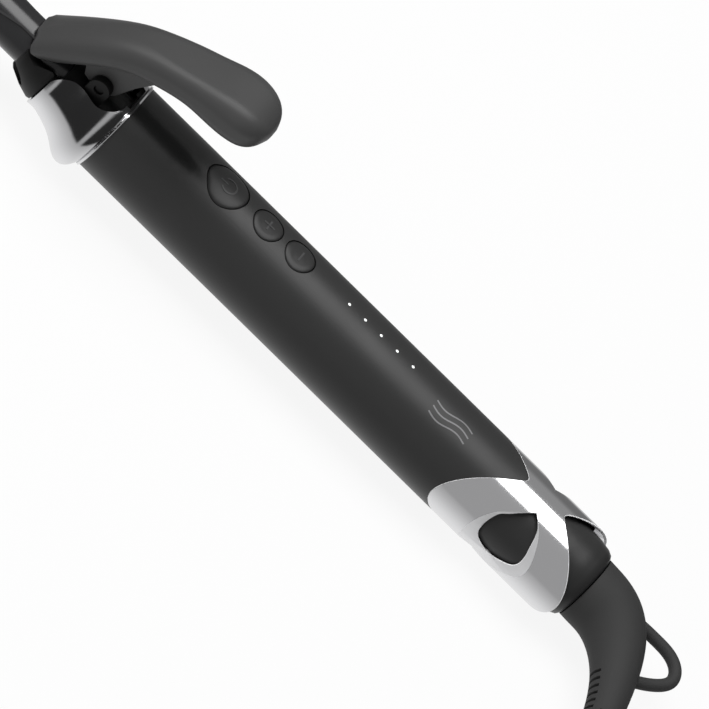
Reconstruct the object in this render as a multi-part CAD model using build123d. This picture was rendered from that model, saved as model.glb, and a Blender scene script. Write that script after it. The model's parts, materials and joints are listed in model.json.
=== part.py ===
from build123d import *
from math import atan2, cos, degrees, radians, sin
import os

os.makedirs("parts", exist_ok=True)

# A slim electric curling iron: a 13 mm heated barrel, a sprung clamp with a thumb lever, a round
# handle with three buttons and five lamps, a bright collar and a bright rear sleeve, and a swivelling
# elbow boot for the supply cord. Millimetres.
#
# Everything is drawn in the iron's own frame and moved into the stored frame at the end:
#   x runs along the handle's axis, from the barrel's tip (negative) to the cord end (positive),
#     and is 0 at the front rim of the handle;
#   z points to the side that carries the lever and the buttons.

# ---- handle and barrel -------------------------------------------------------------------------
HANDLE_R = 14.0
HANDLE_BORE_R = 12.0
BARREL_R = 6.5
BARREL_WALL = 0.8
BARREL_END_X = -147.0
BARREL_SEAT_X = -3.0
TIP_LENGTH = 16.0
HEATER_FRONT_X = -128.0
HEATER_REAR_X = -62.0
HEATER_HALF_Z = 1.0

# ---- heat-resistant socket that holds the barrel, with its nose in front of the collar ---------
# x, radius
NOSE_PROFILE = [
    (-31.5, 0), (-31.5, 7.2), (-30.6, 8.1), (-26.5, 10.1), (-22.8, 11.2), (-21.9, 11.0), (-21.6, 10.0),
    (-19.0, 10.0), (-19.0, 0),
]
NOSE_SLOT_HALF = 8.9
NOSE_SLOT_FLOOR_Z = 3.6
SCREW_YS = (-7.4, 7.4)
SCREW_Z = -4.0
SCREW_R = 1.25
SCREW_HEAD_R = 1.8

# ---- collar around the barrel's root -----------------------------------------------------------
# station x, circle radius, drop of the circle's centre towards the underside
COLLAR_STATIONS = [
    (-21.5, 12.0, 0.0),
    (-18.0, 12.1, 0.0),
    (-14.7, 12.9, 0.3),
    (-10.7, 14.1, 1.2),
    (-7.8, 15.5, 2.0),
    (-4.8, 16.3, 2.3),
    (-2.4, 15.6, 1.7),
    (-0.7, 14.0, 0.0),
]
COLLAR_WALL = 1.5
COLLAR_CAVITY_END = (-2.3, 15.3, 1.5)
COLLAR_SPIGOT_R = 11.95
COLLAR_BORE_R = 10.35
COLLAR_LIP_X = -0.9
COLLAR_LIP_R = 14.45
# The slot's near edge in plan, from the collar's front rim to its rear end: x, distance from the middle
SLOT_EDGE = [(-21.9, 11.3), (-19.0, 8.7), (-11.0, 8.9), (-7.5, 9.7), (-4.7, 8.8), (-2.6, 4.8)]
SLOT_END_X = -1.2
SLOT_END_HALF = 4.4
FOOT_X = -4.8
FOOT_DEPTH = 17.2

# ---- rear sleeve: wave-cut at both ends, seen from the side as two half ellipses ----------------
SLEEVE_BORE_R = 13.2
WAVE_HALF_HEIGHT = 14.05
FRONT_WAVE_X = 145.9
FRONT_WAVE_REACH = 18.0
REAR_WAVE_X = 157.0
REAR_WAVE_REACH = 16.8

# ---- end housing and swivel --------------------------------------------------------------------
HOUSING_END_X = 176.2
HOUSING_R = 12.3
HOUSING_CAVITY_R = 10.0
HUB_R = 5.0
RUNNING_GAP = 0.05
BOOT_START_X = 176.55
RING_XS = (156.0, 162.0)
RING_R = 6.0
BRUSH_GAP = 0.3

# ---- clamp and lever ---------------------------------------------------------------------------
PIVOT_X = -11.0
PIVOT_Z = 12.6
PIN_R = 1.5
CLAMP_BORE_R = 6.8
CLAMP_R = 7.5
CLAMP_END_X = -141.0
CLAMP_ROOT_X = -24.0
CLAMP_NECK_HALF = 3.75
LEVER_SKIRT_Z = 5.2
LUG_HALF = 4.6
CHEEK_INNER = 2.9
EAR_INNER = 4.9
EAR_OUTER = 7.4
PIN_HALF = 6.8
RIVET_XS = (-31.0, -27.0)
RIVET_R = 0.9
SPRING_R = 2.6
SPRING_WIRE_R = 0.4
SPRING_TURNS = 4.0
SPRING_PITCH = 1.1
SPRING_LEG = 3.4

# ---- buttons and lamps -------------------------------------------------------------------------
POWER_X = 31.9
PLUS_X = 47.0
MINUS_X = 58.9
BUTTON_GAP = 0.22
SEAT_FLANGE = 0.7
BUTTON_BASE_Z = 8.5
BUTTON_FLANGE_TOP_Z = 9.2
LAMP_FIRST_X = 77.3
LAMP_PITCH = 5.97
LAMP_COUNT = 5
LAMP_HOLE_R = 0.5
LAMP_PIPE_R = 0.45

# ---- electronics -------------------------------------------------------------------------------
BOARD_BOTTOM_Z = 3.0
BOARD_TOP_Z = 4.6
BOARD_HALF = 9.5
BOARD_FRONT_X = 22.0
BOARD_REAR_X = 110.0
LEAD_YS = (-2.4, 2.4)
LEAD_Z = 7.8
LEAD_R = 0.85
LEAD_START_X = 106.0
LEAD_END_X = 150.5

# ---- how the iron lies on a table: on the collar's foot and on the sleeve's underside ----------
REST_LINE_X = REAR_WAVE_X + 1.4
PITCH = degrees(atan2(FOOT_DEPTH - HANDLE_R, REST_LINE_X - FOOT_X))
FOOT_SHIFT_X = -(FOOT_X * cos(radians(PITCH)) - FOOT_DEPTH * sin(radians(PITCH)))
FOOT_LIFT = FOOT_X * sin(radians(PITCH)) + FOOT_DEPTH * cos(radians(PITCH))
LYING = Pos(FOOT_SHIFT_X, 0, FOOT_LIFT) * Rot(0, PITCH, 0)


def rod(x0, x1, r, y=0.0, z=0.0):
    """A round bar along x."""
    return Pos((x0 + x1) / 2, y, z) * Rot(0, 90, 0) * Cylinder(r, x1 - x0)


def tube(x0, x1, r_out, r_in):
    return rod(x0, x1, r_out) - rod(x0 - 1, x1 + 1, r_in)


def block(x0, x1, y0, y1, z0, z1):
    centre = Pos((x0 + x1) / 2, (y0 + y1) / 2, (z0 + z1) / 2)
    return centre * Box(x1 - x0, y1 - y0, z1 - z0)


def cross_rod(x, z, r, y0, y1):
    """A round bar along y."""
    return Pos(x, (y0 + y1) / 2, z) * Rot(90, 0, 0) * Cylinder(r, y1 - y0)


def upright(x, y, r, z0, z1):
    """A round bar along z."""
    return Pos(x, y, (z0 + z1) / 2) * Cylinder(r, z1 - z0)


def through_side(sketch, half=20.0):
    """A side-view outline (x, z) run through the iron along y."""
    return extrude(Plane.XZ * sketch, amount=half, both=True)


def turned(points):
    """A solid of revolution about x from (x, radius) points."""
    face = make_face(Polyline([(x, 0.0, r) for x, r in points], close=True))
    return revolve(face, axis=Axis.X)


def save(name, shape, moved=True):
    """Write one node. A list of shapes becomes one node of several pieces."""
    if isinstance(shape, list):
        placed = Compound(children=[LYING * piece for piece in shape])
    else:
        placed = LYING * shape if moved else shape
    export_step(placed, f"parts/{name}.step")


# ---- barrel ------------------------------------------------------------------------------------
def barrel_tube():
    shell = tube(BARREL_END_X, BARREL_SEAT_X, BARREL_R, BARREL_R - BARREL_WALL)
    mouth_edges = shell.edges().filter_by(GeomType.CIRCLE).group_by(Axis.X)[0]
    return chamfer(mouth_edges.sort_by(SortBy.RADIUS)[-1], 0.3)


def cool_tip():
    nose_x = BARREL_END_X - TIP_LENGTH
    spigot_r = BARREL_R - BARREL_WALL
    body = rod(nose_x, BARREL_END_X, BARREL_R - 0.1) + rod(BARREL_END_X, BARREL_END_X + 7, spigot_r)
    nose = body.edges().filter_by(GeomType.CIRCLE).group_by(Axis.X)[0]
    body = fillet(nose, 4.5)
    groove = tube(BARREL_END_X - 2.2, BARREL_END_X - 1.4, BARREL_R + 1, BARREL_R - 0.5)
    return body - groove - rod(BARREL_END_X - 6, BARREL_END_X + 8, 3.6)


def heater_plate():
    return block(HEATER_FRONT_X, HEATER_REAR_X, -3.4, 3.4, -HEATER_HALF_Z, HEATER_HALF_Z)


def heat_spreader(side):
    """Half-round aluminium block that carries the heat from the plate to the barrel wall."""
    half = rod(HEATER_FRONT_X - 2, HEATER_REAR_X + 2, BARREL_R - BARREL_WALL)
    return split(half, Plane.XY.offset(side * HEATER_HALF_Z), keep=Keep.TOP if side > 0 else Keep.BOTTOM)


def heater_leads():
    return [rod(HEATER_REAR_X, BOARD_FRONT_X - 1, 0.6, y=side * 2.2) for side in (-1, 1)]


def temperature_sensor():
    bead_start = HEATER_REAR_X + 2
    return rod(bead_start, bead_start + 8, 1.1, z=3.2) + rod(bead_start + 7, BOARD_FRONT_X - 1, 0.45, z=3.2)


def barrel_socket():
    """Heat-resistant core that grips the barrel, carries the hinge ears and closes the handle."""
    core = rod(-19.5, 6, 9.2) + rod(-1.4, 6, COLLAR_BORE_R - 0.05)
    nose = turned(NOSE_PROFILE)
    ears = Part()
    for side in (-1, 1):
        y0, y1 = sorted((side * EAR_INNER, side * EAR_OUTER))
        foot_block = block(PIVOT_X - 3.2, PIVOT_X + 3.2, y0, y1, 3.0, PIVOT_Z)
        ears += foot_block + cross_rod(PIVOT_X, PIVOT_Z, 3.2, y0, y1)
    body = core + nose
    body -= block(-41, -1.4, -NOSE_SLOT_HALF, NOSE_SLOT_HALF, NOSE_SLOT_FLOOR_Z, 14)
    bridge = rod(-19.5, -1.4, 8.2) & block(-19.5, -1.4, -9, 9, 0, 8.0)
    body += bridge + (ears & block(-20, 0, -9, 9, 3, 20))
    body -= rod(-41, BARREL_SEAT_X, BARREL_R)
    body -= rod(-4, 7, 4.2)
    body -= cross_rod(PIVOT_X, PIVOT_Z, PIN_R, -9, 9)
    for y in SCREW_YS:
        body -= rod(-3, 7, SCREW_R, y=y, z=SCREW_Z)
        body -= rod(-41, 0, SCREW_HEAD_R + 0.05, y=y, z=SCREW_Z)
    return body


def socket_screws():
    screws = []
    for y in SCREW_YS:
        head = rod(-1.4, 0, SCREW_HEAD_R, y=y, z=SCREW_Z)
        head -= block(-2, -0.8, y - 1.3, y + 1.3, SCREW_Z - 0.3, SCREW_Z + 0.3)
        screws.append(head + rod(0, 17, SCREW_R, y=y, z=SCREW_Z))
    return screws


def collar():
    def stack(inset, stations):
        faces = []
        for x, r, drop in stations:
            faces.append(Plane.YZ.offset(x) * Pos(0, -drop) * Circle(r - inset))
        return loft(faces)

    outer = stack(0.0, COLLAR_STATIONS)
    cavity = [(COLLAR_STATIONS[0][0] - 0.01, *COLLAR_STATIONS[0][1:])] + COLLAR_STATIONS[1:-2]
    cavity.append(COLLAR_CAVITY_END)
    lip = rod(COLLAR_LIP_X, 0, COLLAR_LIP_R)
    lip = fillet(lip.edges().filter_by(GeomType.CIRCLE), 0.25)
    body = outer - stack(COLLAR_WALL, cavity) + lip
    body -= rod(-4, 1, COLLAR_BORE_R)
    body += tube(-0.8, 5, COLLAR_SPIGOT_R, COLLAR_BORE_R)
    near_edge = [(x, -half) for x, half in SLOT_EDGE]
    slot = [
        Spline(near_edge),
        Polyline(near_edge[-1], (SLOT_END_X, -SLOT_END_HALF), (SLOT_END_X, SLOT_END_HALF), SLOT_EDGE[-1]),
        Spline(SLOT_EDGE),
        Polyline(SLOT_EDGE[0], (-25, SLOT_EDGE[0][1]), (-25, -SLOT_EDGE[0][1]), near_edge[0]),
    ]
    body -= extrude(make_face(slot), amount=25)
    return body


def foot_trim():
    """Everything under the table's surface, in the stored frame."""
    return Pos(0, 0, -10) * Box(60, 60, 20)


# ---- clamp and lever ---------------------------------------------------------------------------
def clamp():
    """Coated steel trough that presses the hair against the barrel."""
    wide = CLAMP_R * sin(radians(50))
    plan = Polyline(
        (CLAMP_ROOT_X, -2.6), (-30.0, -CLAMP_NECK_HALF), (-37.0, -CLAMP_NECK_HALF), (-50.0, -wide),
        (CLAMP_END_X, -wide), (CLAMP_END_X, wide), (-50.0, wide), (-37.0, CLAMP_NECK_HALF),
        (-30.0, CLAMP_NECK_HALF), (CLAMP_ROOT_X, 2.6), close=True,
    )
    outline = make_face(plan)
    free_corners = outline.vertices().group_by(Axis.X)[0]
    outline = fillet(free_corners, 4.5)
    trough = tube(CLAMP_END_X, CLAMP_ROOT_X, CLAMP_R, CLAMP_BORE_R) & extrude(outline, amount=12)
    for x in RIVET_XS:
        trough -= upright(x, 0, RIVET_R, 5, 9)
    return trough


# station x, height of the centre, half width, half thickness, corner radius
LEVER_STATIONS = [
    (-34.7, 0.7, 8.0, 7.2, 7.1),
    (-30.6, 5.5, 8.0, 7.4, 7.3),
    (-27.2, 9.6, 8.1, 8.1, 8.0),
    (-23.8, 13.5, 8.1, 8.4, 7.9),
    (-19.3, 18.9, 8.1, 8.0, 7.5),
    (-14.0, 24.6, 8.0, 6.8, 6.1),
    (-8.6, 28.9, 8.0, 5.7, 4.9),
    (-3.2, 31.9, 8.3, 5.2, 4.2),
    (1.8, 34.2, 8.7, 5.0, 4.0),
    (7.1, 36.2, 9.2, 5.2, 4.3),
    (12.3, 37.7, 9.9, 5.8, 4.7),
    (17.0, 38.5, 10.2, 6.3, 5.1),
    (21.5, 38.8, 9.8, 6.2, 5.1),
    (25.5, 38.8, 8.2, 5.3, 4.3),
    (28.2, 38.9, 5.2, 3.4, 2.8),
    (29.4, 38.9, 2.1, 1.3, 1.1),
]


def lever():
    """Thumb lever: saddles the clamp at the front, hangs on the hinge pin, ends in a thumb rest."""
    faces = []
    for x, z, half_width, half_thickness, corner_r in LEVER_STATIONS:
        section = RectangleRounded(2 * half_width, 2 * half_thickness, corner_r)
        faces.append(Plane.YZ.offset(x) * Pos(0, z) * section)
    body = loft(faces)
    front_cut = Polyline((-36, 4), (-30.2, 4), (-30.6, LEVER_SKIRT_Z), (-33.9, 9), (-36, 9), close=True)
    body -= through_side(make_face(front_cut))
    for side in (-1, 1):
        shoulder = Polyline(
            (-37, side * 1.2), (-34.6, side * 1.2), (-32.8, side * 4.3), (-31.5, side * 9), (-37, side * 9),
            close=True,
        )
        body -= extrude(make_face(shoulder), amount=20, both=True)
    body -= block(-40, -16, -12, 12, -10, LEVER_SKIRT_Z)
    body -= rod(-40, -10, CLAMP_R)
    web_line = Polyline(
        (-19.5, 16.5), (-16.5, 10.6), (PIVOT_X - 2.0, 9.6), (PIVOT_X + 2.0, 9.6), (-6.8, 12.4),
        (-4.5, 20.0), (0.0, 30.0), (-14.0, 22.0), close=True,
    )
    web = through_side(make_face(web_line), LUG_HALF) + cross_rod(PIVOT_X, PIVOT_Z, 3.3, -LUG_HALF, LUG_HALF)
    web -= cross_rod(PIVOT_X, PIVOT_Z, 4.6, -CHEEK_INNER, CHEEK_INNER)
    web -= block(-16.0, -6, -CHEEK_INNER, CHEEK_INNER, 9, PIVOT_Z)
    body += web
    body -= cross_rod(PIVOT_X, PIVOT_Z, PIN_R + RUNNING_GAP, -9, 9)
    for x in RIVET_XS:
        body -= upright(x, 0, RIVET_R, 5, 10.4)
    return body


def clamp_rivets():
    return [upright(x, 0, RIVET_R, 5, 10.4) - rod(-35, -20, CLAMP_BORE_R) for x in RIVET_XS]


def hinge_pin():
    pin = cross_rod(PIVOT_X, PIVOT_Z, PIN_R, -PIN_HALF, PIN_HALF)
    return chamfer(pin.edges().filter_by(GeomType.CIRCLE), 0.2)


def torsion_spring():
    """Coil around the hinge pin, between the lever's two cheeks."""
    length = SPRING_TURNS * SPRING_PITCH
    path = Helix(pitch=SPRING_PITCH, height=length, radius=SPRING_R)
    start = Plane(origin=path @ 0, z_dir=path % 0)
    coil = sweep(start * Circle(SPRING_WIRE_R), path=path, is_frenet=True)
    lower_leg = Cylinder(SPRING_WIRE_R, SPRING_LEG, align=(Align.CENTER, Align.CENTER, Align.MIN))
    lower_leg = Pos(SPRING_R, 0, 0) * Rot(90, 0, 0) * lower_leg
    return Pos(PIVOT_X, length / 2, PIVOT_Z) * Rot(90, 0, 0) * (coil + lower_leg)


# ---- handle ------------------------------------------------------------------------------------
def egg(spec, grow=0.0):
    """Egg outline in plan, its narrow end towards the barrel."""
    x, length, front_r, rear_r = spec
    front = Pos(x - length / 2 + front_r, 0) * Circle(front_r + grow)
    rear = Pos(x + length / 2 - rear_r, 0) * Circle(rear_r + grow)
    return make_hull((front + rear).edges())


# centre x, length, radius of the narrow end, radius of the wide end
BUTTONS = {
    "power_button": (POWER_X, 13.7, 4.6, 6.55),
    "plus_button": (PLUS_X, 9.6, 4.0, 4.75),
    "minus_button": (MINUS_X, 9.6, 4.0, 4.75),
}


def button(spec):
    x = spec[0]
    plug = Plane.XY.offset(BUTTON_BASE_Z) * egg(spec)
    flange = Plane.XY.offset(BUTTON_BASE_Z) * egg(spec, grow=SEAT_FLANGE)
    body = extrude(plug, amount=8) & rod(x - 12, x + 12, HANDLE_R + 0.05)
    return body + extrude(flange, amount=BUTTON_FLANGE_TOP_Z - BUTTON_BASE_Z)


def sleeve_outline():
    front = Pos(FRONT_WAVE_X, 0) * Ellipse(FRONT_WAVE_REACH, WAVE_HALF_HEIGHT)
    rear = Pos(REAR_WAVE_X, 0) * Ellipse(REAR_WAVE_REACH, WAVE_HALF_HEIGHT)
    middle_x = (FRONT_WAVE_X + REAR_WAVE_X) / 2
    middle = Pos(middle_x, 0) * Rectangle(REAR_WAVE_X - FRONT_WAVE_X, 2 * WAVE_HALF_HEIGHT)
    return front + rear + middle


def handle_tube():
    body = tube(0, FRONT_WAVE_X, HANDLE_R, HANDLE_BORE_R) - through_side(sleeve_outline())
    for spec in BUTTONS.values():
        body -= extrude(Plane.XY.offset(5) * egg(spec, grow=BUTTON_GAP), amount=12)
    for index in range(LAMP_COUNT):
        body -= upright(LAMP_FIRST_X + index * LAMP_PITCH, 0, LAMP_HOLE_R, 8, 16)
    return body


def chassis():
    """Inner tray that holds the board and takes the two screws of the barrel socket."""
    tray = tube(14, 111, 11.7, 10.4) & block(14, 111, -12, 12, -12, BOARD_BOTTOM_Z)
    for side in (-1, 1):
        y0, y1 = sorted((side * 8.2, side * 10.6))
        tray += block(20, 111, y0, y1, 1.6, BOARD_BOTTOM_Z)
    for y in SCREW_YS:
        web = block(14, 20, y - 2.2, y + 2.2, -9.4, SCREW_Z) & rod(14, 20, 11)
        tray += rod(6, 20, 2.6, y=y, z=SCREW_Z) + web
    tray += tube(10, 15, 11.7, 9.2) & block(10, 15, -12, 12, -12, BOARD_BOTTOM_Z)
    for y in SCREW_YS:
        tray -= rod(5, 17, SCREW_R, y=y, z=SCREW_Z)
    return tray - rod(0, 112, 3.4)


def control_board():
    board = block(BOARD_FRONT_X, BOARD_REAR_X, -BOARD_HALF, BOARD_HALF, BOARD_BOTTOM_Z, BOARD_TOP_Z)
    return fillet(board.edges().filter_by(Axis.Z), 1.0)


def switches():
    made = []
    for x, *_ in BUTTONS.values():
        made.append(block(x - 3, x + 3, -3, 3, BOARD_TOP_Z, 7.2) + upright(x, 0, 1.7, 7.1, 7.9))
    return made


def lamps():
    return [block(x - 0.8, x + 0.8, -0.5, 0.5, BOARD_TOP_Z, 5.4) for x in lamp_xs()]


def lamp_xs():
    return [LAMP_FIRST_X + index * LAMP_PITCH for index in range(LAMP_COUNT)]


def light_guide():
    xs = lamp_xs()
    bar = block(xs[0] - 2.4, xs[-1] + 2.4, -2.0, 2.0, 8.4, 10.2)
    for x in xs:
        bar += upright(x, 0, LAMP_PIPE_R, 5.7, 15)
    return bar & rod(xs[0] - 5, xs[-1] + 5, HANDLE_R - 0.1)


def power_parts():
    """Film capacitor, switching triac and controller chip, in that order."""
    capacitor = fillet(block(84, 97, -6, 6, -5.5, BOARD_BOTTOM_Z).edges(), 0.6)
    triac = block(66, 76, -5, 5, 0.0, BOARD_BOTTOM_Z) + block(60, 66, -5, 5, 1.8, BOARD_BOTTOM_Z)
    triac -= upright(62.8, 0, 1.8, 0, 4)
    chip = block(64.8, 72.6, -3, 3, BOARD_TOP_Z, 6.0)
    return capacitor, triac, chip


def terminal_block():
    front_x = BOARD_REAR_X - 5.6
    rear_x = BOARD_REAR_X - 0.4
    body = block(front_x, rear_x, -4.6, 4.6, BOARD_TOP_Z, 10.0)
    for y in LEAD_YS:
        body -= rod(LEAD_START_X, rear_x + 1, LEAD_R, y=y, z=LEAD_Z)
        body -= upright(LEAD_START_X + 1.2, y, 1.0, LEAD_Z + LEAD_R, 11)
    return body


def supply_leads():
    return [rod(LEAD_START_X, LEAD_END_X, LEAD_R, y=y, z=LEAD_Z) for y in LEAD_YS]


# ---- rear sleeve, end housing and swivel -------------------------------------------------------
def window_outline():
    """Rounded three-cornered window, seen from the side: x, z."""
    apex = (152.0, 12.7)
    upper_left = (144.8, 7.9)
    left = (144.2, 0.6)
    lowest = (150.5, -4.5)
    lower_right = (158.3, 0.9)
    right = (158.5, 4.0)
    face = make_face([
        Line(apex, upper_left),
        Line(upper_left, left),
        ThreePointArc(left, lowest, lower_right),
        Line(lower_right, right),
        ThreePointArc(right, (156.3, 9.7), apex),
    ])
    return face


def end_sleeve():
    shell = tube(FRONT_WAVE_X - 20, REAR_WAVE_X + 20, HANDLE_R, SLEEVE_BORE_R)
    return (shell & through_side(sleeve_outline())) - through_side(window_outline())


def end_housing():
    """Black rear body under the sleeve. It plugs into the handle and holds the swivel."""
    profile = [
        (112.5, 0), (112.5, 11.9), (144.6, 11.9), (145.4, HOUSING_R), (165.0, HOUSING_R), (171.0, 12.05),
        (174.2, 11.5), (175.6, 10.8), (HOUSING_END_X, 9.9), (HOUSING_END_X, 0),
    ]
    body = turned(profile)
    rear_edges = body.edges().filter_by(GeomType.CIRCLE).group_by(Axis.X)[-1]
    body = fillet(rear_edges, 0.3)
    body -= rod(100, 170.2, HOUSING_CAVITY_R)
    body -= rod(160, 180, HUB_R + RUNNING_GAP)
    pads = Part()
    for angle in (45, 135, 225, 315):
        pads += Rot(angle, 0, 0) * block(135.5, 141.5, -1.2, 1.2, 11.0, 15)
    for angle in (90, 270):
        pads += Rot(angle, 0, 0) * block(163.5, 168.5, -1.2, 1.2, 11.6, 15)
    pads &= rod(130, 170, SLEEVE_BORE_R)
    body += pads
    return body


def brush_carrier():
    """Insulating bridge inside the end housing that carries the two sprung contacts."""
    body = rod(149, 153.6, HOUSING_CAVITY_R) - rod(148, 155, 5.6)
    arm = block(153.6, 165.4, -3.6, 3.6, 7.9, 11) & rod(150, 166, HOUSING_CAVITY_R)
    body += arm
    for y in LEAD_YS:
        body -= rod(148, LEAD_END_X, LEAD_R, y=y, z=LEAD_Z)
    return body


def brush_contacts():
    made = []
    for x in RING_XS:
        shoe = block(x - 1, x + 1, -1.4, 1.4, RING_R + BRUSH_GAP, 6.9)
        made.append(shoe + block(x - 0.3, x + 0.3, -1.4, 1.4, 6.9, 7.9))
    return made


def slip_rings():
    return [tube(x - 1.5, x + 1.5, RING_R, HUB_R) for x in RING_XS]


def swivel_hub():
    """Hollow journal moulded into the boot. Its flange keeps it in the end housing."""
    body = rod(153.8, 186, HUB_R) + rod(167.0, 169.9, 7.4)
    body -= rod(150, 190, 2.6)
    return body


# x, sideways reach, heading of the spine in degrees, radius
BOOT_STATIONS = [
    (BOOT_START_X, 0.0, 0.0, 9.85),
    (182.4, 0.5, 10.0, 9.75),
    (188.2, 2.8, 33.0, 9.2),
    (193.1, 7.9, 53.0, 8.1),
    (197.0, 14.9, 65.0, 6.8),
    (200.3, 24.2, 73.5, 5.7),
    (201.9, 30.2, 76.5, 5.35),
]
TAIL_HEADING = 79.0
TAIL_LENGTH = 25.0
TAIL_END_R = 4.7
CORD_R = 3.25
CORD_SOCKET_DEPTH = 18.0
LOOP_BAR_R = 1.8
LOOP_POINTS = [
    (188.5, 3.6), (195.7, 4.2), (201.0, 4.3), (206.0, 3.75), (209.6, 1.3), (210.8, -2.4), (208.2, -7.7),
    (205.5, -10.4), (202.0, -13.1), (198.0, -15.5),
]
SLOT_PITCH = 2.6
SLOT_COUNT = 14
TOP_SLOT_COUNT = 8
SLOT_START = 3.0
SLOT_DEPTH = 1.2
SLOT_GAP = 1.0
SLOT_HALF_LENGTH = 2.9


def boot_plane(x, reach, heading):
    direction = Vector(cos(radians(heading)), -sin(radians(heading)), 0)
    return Plane(origin=(x, -reach, 0), x_dir=(0, 0, 1), z_dir=direction)


def tail_end():
    """x, sideways reach and heading of the boot's mouth."""
    x, reach, _, _ = BOOT_STATIONS[-1]
    heading = radians(TAIL_HEADING)
    return x + TAIL_LENGTH * cos(heading), reach + TAIL_LENGTH * sin(heading), TAIL_HEADING


def boot_spine():
    points = [(x, -reach, 0) for x, reach, _, _ in BOOT_STATIONS]
    end_x, end_reach, _ = tail_end()
    return Spline(points + [(end_x, -end_reach, 0)])


def hang_loop():
    path = Spline([(x, y, 0) for x, y in LOOP_POINTS])
    return sweep(Plane(origin=path @ 0, z_dir=path % 0) * Circle(LOOP_BAR_R), path=path)


def boot_radius(reach):
    """Radius of the boot where its spine has come this far to the side."""
    _, end_reach, _ = tail_end()
    known = [(station[1], station[3]) for station in BOOT_STATIONS] + [(end_reach, TAIL_END_R)]
    for (reach_a, r_a), (reach_b, r_b) in zip(known, known[1:]):
        if reach <= reach_b:
            return r_a + (r_b - r_a) * (reach - reach_a) / (reach_b - reach_a)
    return TAIL_END_R


def strain_slots():
    """Short cuts that let the boot's tail bend: in its plane, and near the mouth above and below too."""
    spine = boot_spine()
    slots = []
    for index in range(2 * SLOT_COUNT):
        in_plane = index % 2 == 0
        if not in_plane and index > 2 * TOP_SLOT_COUNT:
            continue
        share = 1 - (SLOT_START + index * SLOT_PITCH / 2) / spine.length
        point = spine @ share
        plane = Plane(origin=point, x_dir=(0, 0, 1), z_dir=spine % share)
        reach = boot_radius(-point.Y) - SLOT_DEPTH + 2.5
        for side in (-1, 1):
            if in_plane:
                slots.append(plane * Pos(0, side * reach) * Box(2 * SLOT_HALF_LENGTH, 5, SLOT_GAP))
            else:
                slots.append(plane * Pos(side * reach, 0) * Box(5, 2 * SLOT_HALF_LENGTH, SLOT_GAP))
    return slots


def cord_boot():
    """Moulded elbow with a hanging loop and a slotted tail for the cord."""
    faces = [boot_plane(x, reach, heading) * Circle(r) for x, reach, heading, r in BOOT_STATIONS]
    mouth = boot_plane(*tail_end())
    body = loft(faces) + loft([faces[-1], mouth * Circle(TAIL_END_R)]) + hang_loop()
    body -= rod(170, 186, HUB_R)
    socket = mouth * Cylinder(CORD_R, CORD_SOCKET_DEPTH, align=(Align.CENTER, Align.CENTER, Align.MAX))
    for slot in strain_slots():
        body -= slot
    return body - socket


# ---- write every piece -------------------------------------------------------------------------
save("barrel_tube", barrel_tube())
save("cool_tip", cool_tip())
save("heater_plate", heater_plate())
save("heat_spreader_upper", heat_spreader(1))
save("heat_spreader_lower", heat_spreader(-1))
save("heater_leads", heater_leads())
save("temperature_sensor", temperature_sensor())
save("barrel_socket", barrel_socket())
save("socket_screws", socket_screws())
save("collar", LYING * collar() - foot_trim(), moved=False)
save("clamp", clamp())
save("lever", lever())
save("clamp_rivets", clamp_rivets())
save("hinge_pin", hinge_pin())
save("torsion_spring", torsion_spring())
save("handle_tube", handle_tube())
for button_name, button_spec in BUTTONS.items():
    save(button_name, button(button_spec))
save("chassis", chassis())
save("control_board", control_board())
save("switches", switches())
save("lamps", lamps())
save("light_guide", light_guide())
for power_name, power_part in zip(("capacitor", "triac", "controller_chip"), power_parts()):
    save(power_name, power_part)
save("terminal_block", terminal_block())
save("supply_leads", supply_leads())
save("end_sleeve", end_sleeve())
save("end_housing", end_housing())
save("brush_carrier", brush_carrier())
save("brush_contacts", brush_contacts())
save("slip_rings", slip_rings())
save("swivel_hub", swivel_hub())
save("cord_boot", cord_boot())
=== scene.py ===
import json
import math

import bmesh
import bpy
from mathutils import Matrix, Vector


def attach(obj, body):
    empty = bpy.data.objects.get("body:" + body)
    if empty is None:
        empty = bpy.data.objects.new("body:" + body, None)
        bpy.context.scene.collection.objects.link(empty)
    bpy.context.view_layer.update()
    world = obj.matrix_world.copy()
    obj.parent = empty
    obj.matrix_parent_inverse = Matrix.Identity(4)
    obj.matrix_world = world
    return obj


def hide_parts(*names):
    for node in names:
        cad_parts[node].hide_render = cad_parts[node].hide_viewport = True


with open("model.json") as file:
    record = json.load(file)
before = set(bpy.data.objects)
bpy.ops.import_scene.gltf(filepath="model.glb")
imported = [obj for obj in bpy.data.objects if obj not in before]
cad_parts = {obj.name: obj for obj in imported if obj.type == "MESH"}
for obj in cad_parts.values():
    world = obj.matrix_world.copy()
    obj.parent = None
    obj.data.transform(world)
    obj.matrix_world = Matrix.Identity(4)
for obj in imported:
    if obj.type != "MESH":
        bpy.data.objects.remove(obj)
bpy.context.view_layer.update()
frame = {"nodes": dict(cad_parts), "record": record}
nodes = frame["nodes"]

# Lengths are written in millimetres in the iron's own frame: x along the handle from the barrel's
# tip to the cord end, 0 at the handle's front rim; z towards the lever and the buttons. Angles
# round the handle are measured from +z towards -y.
MM = 0.001
HANDLE_R = 14.0
FOOT_X = -4.8
FOOT_DEPTH = 17.2
REST_LINE_X = 158.4
PITCH = math.atan2(FOOT_DEPTH - HANDLE_R, REST_LINE_X - FOOT_X)
FOOT_SHIFT_X = -(FOOT_X * math.cos(PITCH) - FOOT_DEPTH * math.sin(PITCH))
FOOT_LIFT = FOOT_X * math.sin(PITCH) + FOOT_DEPTH * math.cos(PITCH)
LYING = Matrix.Translation((FOOT_SHIFT_X * MM, 0, FOOT_LIFT * MM)) @ Matrix.Rotation(PITCH, 4, "Y")


def at(x, y, z):
    """A point of the iron's frame in the stored frame, in metres."""
    return LYING @ Vector((x * MM, y * MM, z * MM))


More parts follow.
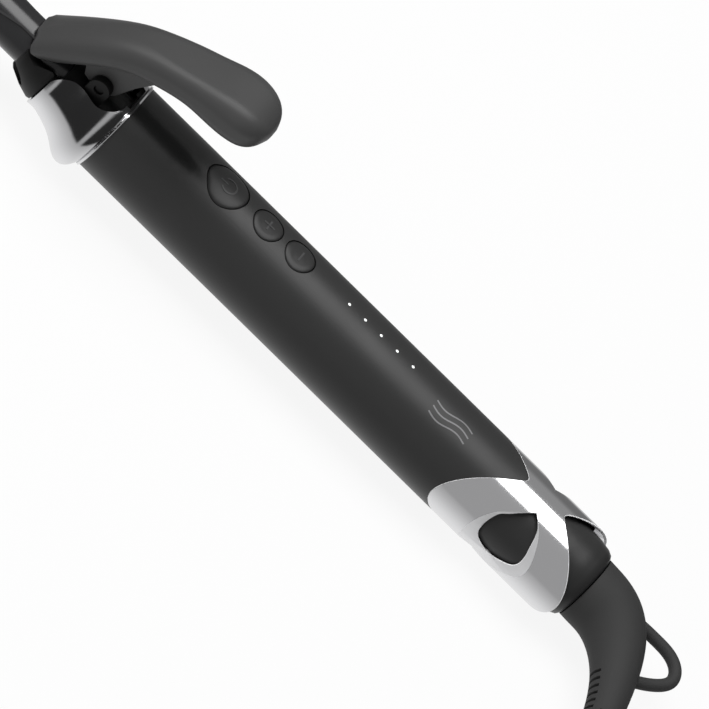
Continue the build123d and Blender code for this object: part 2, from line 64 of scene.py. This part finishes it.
def on_handle(x, angle, r):
    """A point at angle degrees round the handle's axis."""
    a = math.radians(angle)
    return at(x, -r * math.sin(a), r * math.cos(a))


def table_lookup(table, key, column):
    """A smooth curve through one column of a small table sorted by its first column."""
    if key <= table[0][0]:
        return table[0][column]
    for index in range(len(table) - 1):
        low, high = table[index], table[index + 1]
        if key <= high[0]:
            before = table[max(index - 1, 0)]
            after = table[min(index + 2, len(table) - 1)]
            step = high[0] - low[0]
            t = (key - low[0]) / step
            slope_low = (high[column] - before[column]) / (high[0] - before[0]) * step
            slope_high = (after[column] - low[column]) / (after[0] - low[0]) * step
            from_low = low[column] * (2 * t**3 - 3 * t**2 + 1) + slope_low * (t**3 - 2 * t**2 + t)
            to_high = high[column] * (3 * t**2 - 2 * t**3) + slope_high * (t**3 - t**2)
            return from_low + to_high
    return table[-1][column]


# ---- materials -----------------------------------------------------------------------------------
PATCH_SCALE = 55.0
PATCH_DETAIL = 4.0
GRAIN_DETAIL = 2.0
GRAIN_DEPTH = 0.1 * MM
SMOOTHEST = 0.02
WEAR_STARTS = 0.55
WEAR_FULL = 0.8
WEAR_GAIN = 1.5
WEAR_LIFT = 0.02


def material(name, colour, roughness, metallic=0.0, grain=900.0, bump=0.05, mottling=0.06, wear=0.0,
             specular=0.5, glow=0.0):
    """A procedural surface: fine grain, uneven roughness and, if asked for, paler worn patches."""
    made = bpy.data.materials.new(name)
    made.use_nodes = True
    tree = made.node_tree
    new = tree.nodes.new
    link = tree.links.new
    shader = tree.nodes["Principled BSDF"]
    shader.inputs["Metallic"].default_value = metallic
    shader.inputs["Specular IOR Level"].default_value = specular
    place = new("ShaderNodeTexCoord")

    patches = new("ShaderNodeTexNoise")
    patches.inputs["Scale"].default_value = PATCH_SCALE
    patches.inputs["Detail"].default_value = PATCH_DETAIL
    link(place.outputs["Object"], patches.inputs["Vector"])

    rough_range = new("ShaderNodeMapRange")
    rough_range.inputs["To Min"].default_value = max(SMOOTHEST, roughness - mottling)
    rough_range.inputs["To Max"].default_value = roughness + mottling
    link(patches.outputs["Fac"], rough_range.inputs["Value"])
    link(rough_range.outputs["Result"], shader.inputs["Roughness"])

    shader.inputs["Base Color"].default_value = (*colour, 1)
    if wear:
        worn = new("ShaderNodeMixRGB")
        worn.inputs["Color1"].default_value = (*colour, 1)
        paler = [min(1.0, channel * WEAR_GAIN + WEAR_LIFT) for channel in colour]
        worn.inputs["Color2"].default_value = (*paler, 1)
        wear_range = new("ShaderNodeMapRange")
        wear_range.inputs["From Min"].default_value = WEAR_STARTS
        wear_range.inputs["From Max"].default_value = WEAR_FULL
        wear_range.inputs["To Max"].default_value = wear
        link(patches.outputs["Fac"], wear_range.inputs["Value"])
        link(wear_range.outputs["Result"], worn.inputs["Fac"])
        link(worn.outputs["Color"], shader.inputs["Base Color"])

    grains = new("ShaderNodeTexNoise")
    grains.inputs["Scale"].default_value = grain
    grains.inputs["Detail"].default_value = GRAIN_DETAIL
    link(place.outputs["Object"], grains.inputs["Vector"])
    raised = new("ShaderNodeBump")
    raised.inputs["Strength"].default_value = bump
    raised.inputs["Distance"].default_value = GRAIN_DEPTH
    link(grains.outputs["Fac"], raised.inputs["Height"])
    link(raised.outputs["Normal"], shader.inputs["Normal"])
    if glow:
        shader.inputs["Emission Color"].default_value = (*colour, 1)
        shader.inputs["Emission Strength"].default_value = glow
    return made


soft_touch = material("soft_touch_black", (0.026, 0.026, 0.026), 0.42, grain=2600, bump=0.10,
                      wear=0.10, specular=0.32)
satin_black = material("satin_black", (0.025, 0.025, 0.025), 0.40, grain=2200, bump=0.08,
                       wear=0.08, specular=0.27)
# A paler black for the lever: the extra paleness is painted light, standing in for the highlight
# along its flank.
lever_black_painted_light = material("lever_black_painted_light", (0.054, 0.054, 0.054), 0.42, grain=2200, bump=0.10,
                       wear=0.10, specular=0.25)
boot_rubber = material("boot_rubber", (0.040, 0.040, 0.040), 0.66, grain=1800, bump=0.12,
                       wear=0.12, specular=0.15)
heat_plastic = material("heat_plastic", (0.008, 0.008, 0.008), 0.5, grain=1500, bump=0.1,
                        specular=0.22)
chrome = material("bright_chrome", (0.62, 0.62, 0.63), 0.12, metallic=1.0, grain=500, bump=0.01,
                  mottling=0.02)
satin_metal = material("satin_hollow", (0.70, 0.70, 0.71), 0.36, metallic=0.35, bump=0.02,
                       mottling=0.03)
# The sleeve's cut edges: their near-white colour is a painted highlight, standing in for the glints
# that light catches along them.
edge_highlight_paint = material("cut_edge_painted_highlight", (0.90, 0.90, 0.91), 0.35, bump=0.02, mottling=0.03, wear=0.1)
black_coating = material("black_coating", (0.012, 0.012, 0.013), 0.22, grain=700, bump=0.02,
                         wear=0.1)
dark_steel = material("blackened_steel", (0.03, 0.03, 0.03), 0.4, metallic=1.0)
steel = material("plain_steel", (0.42, 0.42, 0.43), 0.3, metallic=1.0)
lamp_white = material("lamp_white", (0.86, 0.88, 0.87), 0.3, glow=0.35)
print_grey = material("printed_grey", (0.15, 0.15, 0.155), 0.4, grain=1500, bump=0.05)
mark_dark = material("pressed_mark", (0.038, 0.038, 0.039), 0.5, grain=1500, bump=0.05)
inner_plastic = material("inner_plastic", (0.10, 0.10, 0.10), 0.5)
board_green = material("circuit_board", (0.03, 0.16, 0.07), 0.35)
brass = material("contact_brass", (0.70, 0.52, 0.24), 0.3, metallic=1.0)
ceramic = material("heater_ceramic", (0.80, 0.78, 0.74), 0.6)
aluminium = material("bare_aluminium", (0.70, 0.70, 0.71), 0.35, metallic=1.0)
insulation = material("lead_insulation", (0.72, 0.71, 0.67), 0.5)
film = material("capacitor_film", (0.55, 0.40, 0.08), 0.35)

LOOKS = {
    "black_coating": black_coating,
    "dark_steel": dark_steel,
    "heat_plastic": heat_plastic,
    "heater_ceramic": ceramic,
    "bare_aluminium": aluminium,
    "lead_insulation": insulation,
    "screw_steel": steel,
    "bright_chrome": chrome,
    "satin_black": satin_black,
    "spring_steel": steel,
    "soft_touch_black": soft_touch,
    "inner_plastic": inner_plastic,
    "circuit_board": board_green,
    "switch_black": heat_plastic,
    "lamp_white": lamp_white,
    "capacitor_film": film,
    "contact_brass": brass,
    "boot_rubber": boot_rubber,
}
# The thumb lever shares its slot with other pieces but is a shade paler: painted light, a paler
# base colour standing in for the broad highlight along its flank.
OWN_LOOKS = {"lever": lever_black_painted_light}
WELD_DISTANCE = 0.002 * MM
CAD_CREASE = 28
slot_of = {part["node"]: part["material_slot"] for part in frame["record"]["subparts"]}
for name, node in nodes.items():
    node.data.materials.clear()
    node.data.materials.append(OWN_LOOKS.get(name, LOOKS[slot_of[name]]))
    weld = node.modifiers.new("weld", "WELD")
    weld.merge_threshold = WELD_DISTANCE
    node.data.shade_smooth()
    split = node.modifiers.new("split", "EDGE_SPLIT")
    split.split_angle = math.radians(CAD_CREASE)


# ---- refined pieces ------------------------------------------------------------------------------
def finish_piece(name, mesh, body, looks, stands_for=()):
    """Adds a piece that rides on a body and, where named, stands in for CAD nodes."""
    piece = bpy.data.objects.new(name, mesh)
    bpy.context.scene.collection.objects.link(piece)
    for look in looks:
        mesh.materials.append(look)
    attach(piece, body)
    if stands_for:
        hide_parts(*stands_for)
    return piece


# Each end of the sleeve is cut in a wave that bulges along x at the sides of the handle.
WAVE_HALF_HEIGHT = 14.05
FRONT_WAVE_X = 145.9
FRONT_WAVE_REACH = 18.0
REAR_WAVE_X = 157.0
REAR_WAVE_REACH = 16.8
SLEEVE_WALL = 0.7
# The thumb hollow and its window, row by row: angle, where the hollow starts, where the window
# starts, where the window ends, where the hollow ends, and how deep the hollow is at the window.
HOLLOW = [
    (23.4, 152.0, 152.0, 152.0, 152.0, 0.0),
    (30.0, 150.0, 150.3, 153.9, 154.1, 0.15),
    (37.0, 148.2, 148.7, 155.4, 155.9, 0.35),
    (45.0, 146.2, 147.0, 156.3, 157.4, 0.55),
    (54.0, 144.0, 145.0, 157.0, 158.8, 0.72),
    (71.0, 142.0, 144.0, 158.2, 160.7, 0.85),
    (84.0, 141.4, 144.1, 158.3, 161.2, 0.85),
    (92.0, 141.3, 144.6, 157.5, 160.9, 0.85),
    (98.0, 141.3, 145.5, 156.0, 160.3, 0.85),
    (103.0, 141.3, 147.1, 154.0, 159.4, 0.85),
    (106.5, 141.4, 148.6, 152.4, 158.6, 0.85),
    (108.7, 141.5, 150.2, 150.9, 158.0, 0.85),
    (116.0, 141.6, 149.4, 150.1, 156.4, 0.90),
    (124.0, 141.8, 148.4, 149.1, 154.6, 0.90),
    (134.0, 142.3, 147.2, 147.9, 152.6, 0.85),
    (142.0, 143.6, 146.8, 147.4, 150.4, 0.50),
    (150.0, 147.0, 147.0, 147.0, 147.0, 0.0),
]
WINDOW_TOP = 23.4
WINDOW_BOTTOM = 108.7
HALF_TURN = 180
FULL_TURN = 360
STRIP_STEPS = (10, 4, 8, 4, 10)
ROW_STEP = 1.5
FINE_STEP = 0.3
FINE_FROM = 99.0
FINE_PAST_WINDOW = 3
EDGE_CHAMFER = 0.2
SLEEVE_CREASE = 40
JOIN_DISTANCE = 0.004 * MM
# Material slots of the sleeve. Both edge slots carry the painted highlight of the cut edges; the
# second edge slot is for the rim that the wall's thickness adds.
SLEEVE_LOOKS = [chrome, satin_metal, edge_highlight_paint, edge_highlight_paint]
CHROME_SLOT = 0
HOLLOW_SLOT = 1
EDGE_SLOT = 2


def sleeve_angles():
    """Rows round the handle, closer together along the window's lowest edge."""
    coarse = [index * ROW_STEP for index in range(round(HALF_TURN / ROW_STEP) + 1)]
    fine_rows = round((WINDOW_BOTTOM + FINE_PAST_WINDOW - FINE_FROM) / FINE_STEP)
    fine = [FINE_FROM + index * FINE_STEP for index in range(fine_rows)]
    near = {round(angle, 3) for angle in coarse + fine + [WINDOW_TOP, WINDOW_BOTTOM]}
    far = {round(FULL_TURN - angle, 3) for angle in near if 0 < angle < HALF_TURN}
    return sorted(near | far)


def from_top(angle):
    """The angle down from the top line, the same on both sides of the handle."""
    return min(angle, FULL_TURN - angle)


def sleeve_row(angle):
    """Points along the sleeve at one angle, from its front wave to its rear wave."""
    side_angle = from_top(angle)
    height = HANDLE_R * math.cos(math.radians(angle)) / WAVE_HALF_HEIGHT
    bulge = math.sqrt(max(0.0, 1 - height * height))
    stops = [FRONT_WAVE_X - FRONT_WAVE_REACH * bulge + EDGE_CHAMFER]
    stops += [table_lookup(HOLLOW, side_angle, column) for column in (1, 2, 3, 4)]
    stops.append(REAR_WAVE_X + REAR_WAVE_REACH * bulge - EDGE_CHAMFER)
    depth = table_lookup(HOLLOW, side_angle, 5)
    depths = [0, 0, depth, depth, 0, 0]
    row = []
    for strip, steps in enumerate(STRIP_STEPS):
        for step in range(steps):
            share = step / steps
            x = stops[strip] + share * (stops[strip + 1] - stops[strip])
            sunk = depths[strip] + share * (depths[strip + 1] - depths[strip])
            row.append(on_handle(x, angle, HANDLE_R - sunk))
    row.append(on_handle(stops[-1], angle, HANDLE_R - depths[-1]))
    return row


def add_cut_edge(work):
    """A small chamfer along every border of the sheet, coloured with the painted highlight of the
    edge slot.
    """
    border = [edge for edge in work.edges if edge.is_boundary]
    moves = {}
    for vertex in {vertex for edge in border for vertex in edge.verts}:
        ends = [edge.other_vert(vertex).co for edge in vertex.link_edges if edge.is_boundary]
        away = (ends[1] - ends[0]).cross(vertex.normal).normalized()
        inside = sum((face.calc_center_median() for face in vertex.link_faces), Vector())
        if away.dot(inside / len(vertex.link_faces) - vertex.co) > 0:
            away.negate()
        moves[vertex] = (away - vertex.normal) * EDGE_CHAMFER * MM
    # The new chamfer faces take the edge slot, whose pale colour is a painted highlight.
    for item in bmesh.ops.extrude_edge_only(work, edges=border)["geom"]:
        if isinstance(item, bmesh.types.BMFace):
            item.material_index = EDGE_SLOT
        if isinstance(item, bmesh.types.BMVert):
            neighbours = [edge.other_vert(item) for edge in item.link_edges]
            source = next(vertex for vertex in neighbours if vertex in moves)
            item.co = source.co + moves[source]


def sleeve_mesh():
    """The bright rear sleeve, laid out in rows round the handle with the two windows left open."""
    angles = sleeve_angles()
    columns = sum(STRIP_STEPS) + 1
    hollow_first = STRIP_STEPS[0]
    window_first = hollow_first + STRIP_STEPS[1]
    window_last = window_first + STRIP_STEPS[2]
    hollow_last = window_last + STRIP_STEPS[3]
    points = []
    faces = []
    slots = []
    for row, angle in enumerate(angles):
        points += sleeve_row(angle)
        next_row = (row + 1) % len(angles)
        next_angle = angles[next_row] if next_row else FULL_TURN
        side_angle = from_top((angle + next_angle) / 2)
        open_row = WINDOW_TOP < side_angle < WINDOW_BOTTOM
        hollow_row = WINDOW_TOP < side_angle < HOLLOW[-1][0]
        for column in range(columns - 1):
            if open_row and window_first <= column < window_last:
                continue
            a = row * columns + column
            b = next_row * columns + column
            faces.append((a, b, b + 1, a + 1))
            sunk = hollow_row and hollow_first <= column < hollow_last
            slots.append(HOLLOW_SLOT if sunk else CHROME_SLOT)
    mesh = bpy.data.meshes.new("sleeve_shell")
    mesh.from_pydata(points, [], faces)
    mesh.polygons.foreach_set("material_index", slots)
    work = bmesh.new()
    work.from_mesh(mesh)
    bmesh.ops.remove_doubles(work, verts=work.verts, dist=JOIN_DISTANCE)
    bmesh.ops.recalc_face_normals(work, faces=work.faces)
    centre = at((FRONT_WAVE_X + REAR_WAVE_X) / 2, 0, 0)
    sample = max(work.faces, key=lambda face: (face.calc_center_median() - centre).length)
    if sample.normal.dot(sample.calc_center_median() - centre) < 0:
        bmesh.ops.reverse_faces(work, faces=work.faces)
    work.normal_update()
    for edge in work.edges:
        if len({face.material_index for face in edge.link_faces}) > 1:
            edge.smooth = False
    add_cut_edge(work)
    work.to_mesh(mesh)
    work.free()
    mesh.shade_smooth()
    return mesh


sleeve = finish_piece("sleeve_shell", sleeve_mesh(), "handle", SLEEVE_LOOKS,
                      ["end_sleeve"])
wall = sleeve.modifiers.new("wall", "SOLIDIFY")
wall.thickness = SLEEVE_WALL * MM
wall.offset = -1
# The wall's rim takes the second edge slot, also a painted highlight.
wall.material_offset_rim = 1
crease = sleeve.modifiers.new("crease", "EDGE_SPLIT")
crease.split_angle = math.radians(SLEEVE_CREASE)

# ---- button caps ---------------------------------------------------------------------------------
OUTLINE_POINTS = 96
CAP_CREASE = 50
# Distance in from the cap's edge, and height over the handle's surface.
CAP_EDGE = [(0.0, -3.0), (0.0, -0.42), (0.07, -0.2), (0.2, -0.05), (0.42, 0.03), (0.9, 0.09),
            (1.7, 0.12)]
CAP_CROWN = 0.12
CAP_DISH = 0.10
DISH_SHARES = (0.45, 0.6, 0.75, 0.9)


def egg_outline(x, length, front_r, rear_r):
    """Points round a button's plan: the hull of a small front circle and a larger rear one."""
    front_x = x - length / 2 + front_r
    rear_x = x + length / 2 - rear_r
    lean = math.degrees(math.asin((rear_r - front_r) / (rear_x - front_x)))
    points = []
    for index in range(OUTLINE_POINTS):
        angle = FULL_TURN * index / OUTLINE_POINTS
        a = math.radians(angle)
        on_rear = min(angle, FULL_TURN - angle) < 90 + lean
        r, centre_x = (rear_r, rear_x) if on_rear else (front_r, front_x)
        points.append((centre_x + r * math.cos(a), r * math.sin(a)))
    return points


def cap_mesh(name, spec):
    """A button cap that follows the handle's roundness, with a rolled edge and a slight dish."""
    outline = egg_outline(*spec)
    centre_x, length = spec[:2]
    half = length / 2
    profile = list(CAP_EDGE)
    for share in DISH_SHARES:
        profile.append((half * share, CAP_CROWN - CAP_DISH * math.sin(math.pi * share / 2)))
    work = bmesh.new()
    rings = []
    for inset, rise in profile:
        ring = []
        shrink = 1 - inset / half
        for px, py in outline:
            x = centre_x + (px - centre_x) * shrink
            y = py * shrink
            z = math.sqrt(HANDLE_R**2 - y * y) + rise
            ring.append(work.verts.new(at(x, y, z)))
        rings.append(ring)
    for lower, upper in zip(rings, rings[1:]):
        for i in range(len(lower)):
            j = (i + 1) % len(lower)
            work.faces.new((lower[i], lower[j], upper[j], upper[i]))
    work.faces.new(rings[-1])
    work.faces.new(list(reversed(rings[0])))
    mesh = bpy.data.meshes.new(name)
    work.to_mesh(mesh)
    work.free()
    mesh.shade_smooth()
    mesh.set_sharp_from_angle(angle=math.radians(CAP_CREASE))
    return mesh


# Middle of the button along x, length, and the radii of its front and rear ends.
BUTTONS = {
    "power_button": (31.9, 13.7, 4.6, 6.55),
    "plus_button": (47.0, 9.6, 4.0, 4.75),
    "minus_button": (58.9, 9.6, 4.0, 4.75),
}
for name, spec in BUTTONS.items():
    cap_name = name + "_cap"
    finish_piece(cap_name, cap_mesh(cap_name, spec), name, [satin_black], [name])


# ---- marks and print -----------------------------------------------------------------------------
def stroke_mesh(name, strokes, width, rise, thickness):
    """Flat strokes wrapped on the handle: each is a list of (x, distance round the handle)."""
    work = bmesh.new()
    for line in strokes:
        rows = []
        for i, (x, w) in enumerate(line):
            before = line[max(i - 1, 0)]
            after = line[min(i + 1, len(line) - 1)]
            run = Vector((after[0] - before[0], after[1] - before[1])).normalized()
            offset = Vector((-run.y, run.x)) * width / 2
            row = []
            for side, lift in ((1, thickness), (-1, thickness), (-1, 0), (1, 0)):
                angle = math.degrees((w + side * offset.y) / HANDLE_R)
                corner = on_handle(x + side * offset.x, angle, HANDLE_R + rise + lift)
                row.append(work.verts.new(corner))
            rows.append(row)
        for first, second in zip(rows, rows[1:]):
            for k in range(4):
                work.faces.new((first[k], second[k], second[(k + 1) % 4], first[(k + 1) % 4]))
        work.faces.new(list(reversed(rows[0])))
        work.faces.new(rows[-1])
    bmesh.ops.recalc_face_normals(work, faces=work.faces)
    mesh = bpy.data.meshes.new(name)
    work.to_mesh(mesh)
    work.free()
    return mesh


ARC_STEPS = 28


def arc(x, w, r, start, end):
    """Arc points; angle 0 points towards the cord end, 90 towards -y."""
    made = []
    for i in range(ARC_STEPS + 1):
        a = math.radians(start + (end - start) * i / ARC_STEPS)
        made.append((x + r * math.cos(a), w + r * math.sin(a)))
    return made


MARK_WIDTH = 0.5
MARK_RISE = 0.11
MARK_THICKNESS = 0.05
MARK_ARM = 1.8
POWER_X = 32.3
POWER_R = 2.3
POWER_GAP = 140
POWER_STROKE = (3.1, 0.6)
PLUS_X = 47.2
MINUS_X = 59.1
MARKS = {
    "power": [arc(POWER_X, 0, POWER_R, -POWER_GAP, POWER_GAP),
              [(POWER_X - reach, 0) for reach in POWER_STROKE]],
    "plus": [[(PLUS_X - MARK_ARM, 0), (PLUS_X + MARK_ARM, 0)],
             [(PLUS_X, -MARK_ARM), (PLUS_X, MARK_ARM)]],
    "minus": [[(MINUS_X, -MARK_ARM), (MINUS_X, MARK_ARM)]],
}
for name, strokes in MARKS.items():
    mark_name = name + "_mark"
    mark_mesh = stroke_mesh(mark_name, strokes, MARK_WIDTH, MARK_RISE, MARK_THICKNESS)
    finish_piece(mark_name, mark_mesh, name + "_button", [mark_dark])

# A plain printed motif of three wavy strands of hair, where such irons carry a print.
STRAND_START = 112.0
STRAND_LENGTH = 13.0
STRAND_MIDDLE = 4.4
STRAND_GAP = 2.0
STRAND_SWAY = 0.7
STRAND_STEPS = 32
STRAND_WIDTH = 0.42
PRINT_THICKNESS = 0.02
strands = []
for strand in (-1, 0, 1):
    line = []
    for step in range(STRAND_STEPS + 1):
        along = step / STRAND_STEPS
        sway = STRAND_SWAY * math.sin(2 * math.pi * along)
        middle = STRAND_MIDDLE + STRAND_GAP * strand
        line.append((STRAND_START + STRAND_LENGTH * along, middle + sway))
    strands.append(line)
strand_mesh = stroke_mesh("printed_strands", strands, STRAND_WIDTH, 0.0, PRINT_THICKNESS)
finish_piece("printed_strands", strand_mesh, "handle", [print_grey])

# ---- floor, light and camera, in metres ----------------------------------------------------------
# The floor glows a little, so that it stays an even pale tone, and is not mirrored in the chrome.
FLOOR_HALF = 14.0
FLOOR_MIDDLE_X = 0.1
FLOOR_DROP = 0.0003
FLOOR_GREY = 0.07
FLOOR_GLOW = 0.90
FLOOR_ROUGHNESS = 0.9
FLOOR_SPECULAR = 0.1
floor_mesh = bpy.data.meshes.new("floor")
floor_mesh.from_pydata(
    [(-FLOOR_HALF, -FLOOR_HALF, 0), (FLOOR_HALF, -FLOOR_HALF, 0), (FLOOR_HALF, FLOOR_HALF, 0),
     (-FLOOR_HALF, FLOOR_HALF, 0)], [], [(0, 1, 2, 3)])
floor_look = bpy.data.materials.new("pale_floor")
floor_look.use_nodes = True
floor_shader = floor_look.node_tree.nodes["Principled BSDF"]
floor_shader.inputs["Base Color"].default_value = (FLOOR_GREY, FLOOR_GREY, FLOOR_GREY, 1)
floor_shader.inputs["Roughness"].default_value = FLOOR_ROUGHNESS
floor_shader.inputs["Specular IOR Level"].default_value = FLOOR_SPECULAR
floor_shader.inputs["Emission Color"].default_value = (1, 1, 1, 1)
floor_shader.inputs["Emission Strength"].default_value = FLOOR_GLOW
floor_mesh.materials.append(floor_look)
floor = bpy.data.objects.new("floor", floor_mesh)
floor.location = (FLOOR_MIDDLE_X, 0, -FLOOR_DROP)
floor.visible_glossy = False
bpy.context.scene.collection.objects.link(floor)

# What the iron reflects: a mid-grey studio with a dark flag past each of its ends, darker towards
# the wall behind it, and a pale table that brightens towards straight below.
STUDIO_GREY = 0.48
FLAG_GREY = 0.03
FLAG_SHARE = FLAG_GREY / STUDIO_GREY
FAR_SHARE = 0.8
WALL_SHARE = 0.55
TABLE_GLOW = 0.6
world = bpy.data.worlds.new("studio")
bpy.context.scene.world = world
world.use_nodes = True
sky = world.node_tree


def sky_range(source, low, high, at_low, at_high):
    """A smooth change from one value to another while the source goes from low to high."""
    node = sky.nodes.new("ShaderNodeMapRange")
    node.interpolation_type = "SMOOTHSTEP"
    node.inputs["From Min"].default_value = low
    node.inputs["From Max"].default_value = high
    node.inputs["To Min"].default_value = at_low
    node.inputs["To Max"].default_value = at_high
    sky.links.new(source, node.inputs["Value"])
    return node.outputs["Result"]


def sky_math(operation, *values):
    """One arithmetic node; numbers are set on it and sockets are linked to it."""
    node = sky.nodes.new("ShaderNodeMath")
    node.operation = operation
    for socket, value in zip(node.inputs, values):
        if isinstance(value, float):
            socket.default_value = value
        else:
            sky.links.new(value, socket)
    return node.outputs["Value"]


direction = sky.nodes.new("ShaderNodeTexCoord")
parts = sky.nodes.new("ShaderNodeSeparateXYZ")
sky.links.new(direction.outputs["Generated"], parts.inputs["Vector"])
barrel_end = sky_range(parts.outputs["X"], -0.14, 0.04, FLAG_SHARE, 1.0)
cord_end = sky_range(parts.outputs["X"], 0.18, 0.42, 1.0, FLAG_SHARE)
far_side = sky_range(parts.outputs["Y"], 0.35, 0.60, STUDIO_GREY, FAR_SHARE * STUDIO_GREY)
back_wall = sky_range(parts.outputs["Y"], 0.87, 0.99, 1.0, WALL_SHARE)
ends = sky_math("MULTIPLY", barrel_end, cord_end)
studio = sky_math("MULTIPLY", sky_math("MULTIPLY", far_side, back_wall), ends)
steepness = sky_math("POWER", sky_math("ABSOLUTE", parts.outputs["Z"]), 2.0)
table = sky_math("MULTIPLY_ADD", steepness, TABLE_GLOW, STUDIO_GREY)
below = sky_range(parts.outputs["Z"], -0.42, -0.28, 1.0, 0.0)
table_share = sky_math("MULTIPLY", table, below)
studio_share = sky_math("MULTIPLY", studio, sky_math("SUBTRACT", 1.0, below))
sky.links.new(sky_math("ADD", table_share, studio_share), sky.nodes["Background"].inputs["Color"])


def softbox(name, place, target, width, length, radiance):
    """A rectangular area light of even brightness, turned towards its target."""
    light = bpy.data.lights.new(name, "AREA")
    light.shape = "RECTANGLE"
    light.size = width
    light.size_y = length
    light.energy = radiance * math.pi * width * length
    lamp = bpy.data.objects.new(name, light)
    lamp.location = place
    lamp.rotation_mode = "QUATERNION"
    lamp.rotation_quaternion = (Vector(target) - Vector(place)).to_track_quat("-Z", "Y")
    bpy.context.scene.collection.objects.link(lamp)
    return lamp


softbox("overhead", (-0.36, 0.21, 1.25), (-0.36, 0.21, 0.0), 1.56, 0.92, 5.0)
softbox("barrel_side", (-1.07, -0.13, 0.82), (0.0, 0.0, 0.02), 0.5, 0.5, 4.0)
# The fill lifts the near flanks only; the chrome does not mirror it.
viewer_fill = softbox("viewer_fill", (0.0, -1.15, 0.35), (0.0, 0.0, 0.03), 1.2, 0.8, 1.1)
viewer_fill.visible_glossy = False

# The picture's plane in the iron's frame: the handle's direction in it and the one across that, and
# the roll of the camera against them. The picture's width and middle are in millimetres.
ALONG = Vector((0.996, -0.061, 0.062))
ACROSS = Vector((0.0, 0.713, 0.701))
ROLL = math.radians(44.47)
PICTURE_WIDTH = 189.3
AIM_ALONG = 88.2
AIM_ACROSS = 1.13
LENS = 1000.0
SENSOR = 36.0
CLIP_NEAR_SHARE = 0.1
CLIP_FAR_SHARE = 8
turn = LYING.to_3x3()
right = turn @ (ALONG * math.cos(ROLL) + ACROSS * math.sin(ROLL)).normalized()
up = turn @ (ACROSS * math.cos(ROLL) - ALONG * math.sin(ROLL)).normalized()
back = right.cross(up).normalized()
up = back.cross(right).normalized()
aim = at(*(ALONG * AIM_ALONG + ACROSS * AIM_ACROSS))
camera_data = bpy.data.cameras.new("camera")
camera_data.lens = LENS
camera_data.sensor_width = SENSOR
distance = PICTURE_WIDTH * MM * LENS / SENSOR
camera_data.clip_start = distance * CLIP_NEAR_SHARE
camera_data.clip_end = distance * CLIP_FAR_SHARE
camera = bpy.data.objects.new("camera", camera_data)
placing = Matrix((right, up, back)).transposed().to_4x4()
placing.translation = aim + back * distance
camera.matrix_world = placing
bpy.context.scene.collection.objects.link(camera)
bpy.context.scene.camera = camera
bpy.context.scene.view_settings.view_transform = "Standard"
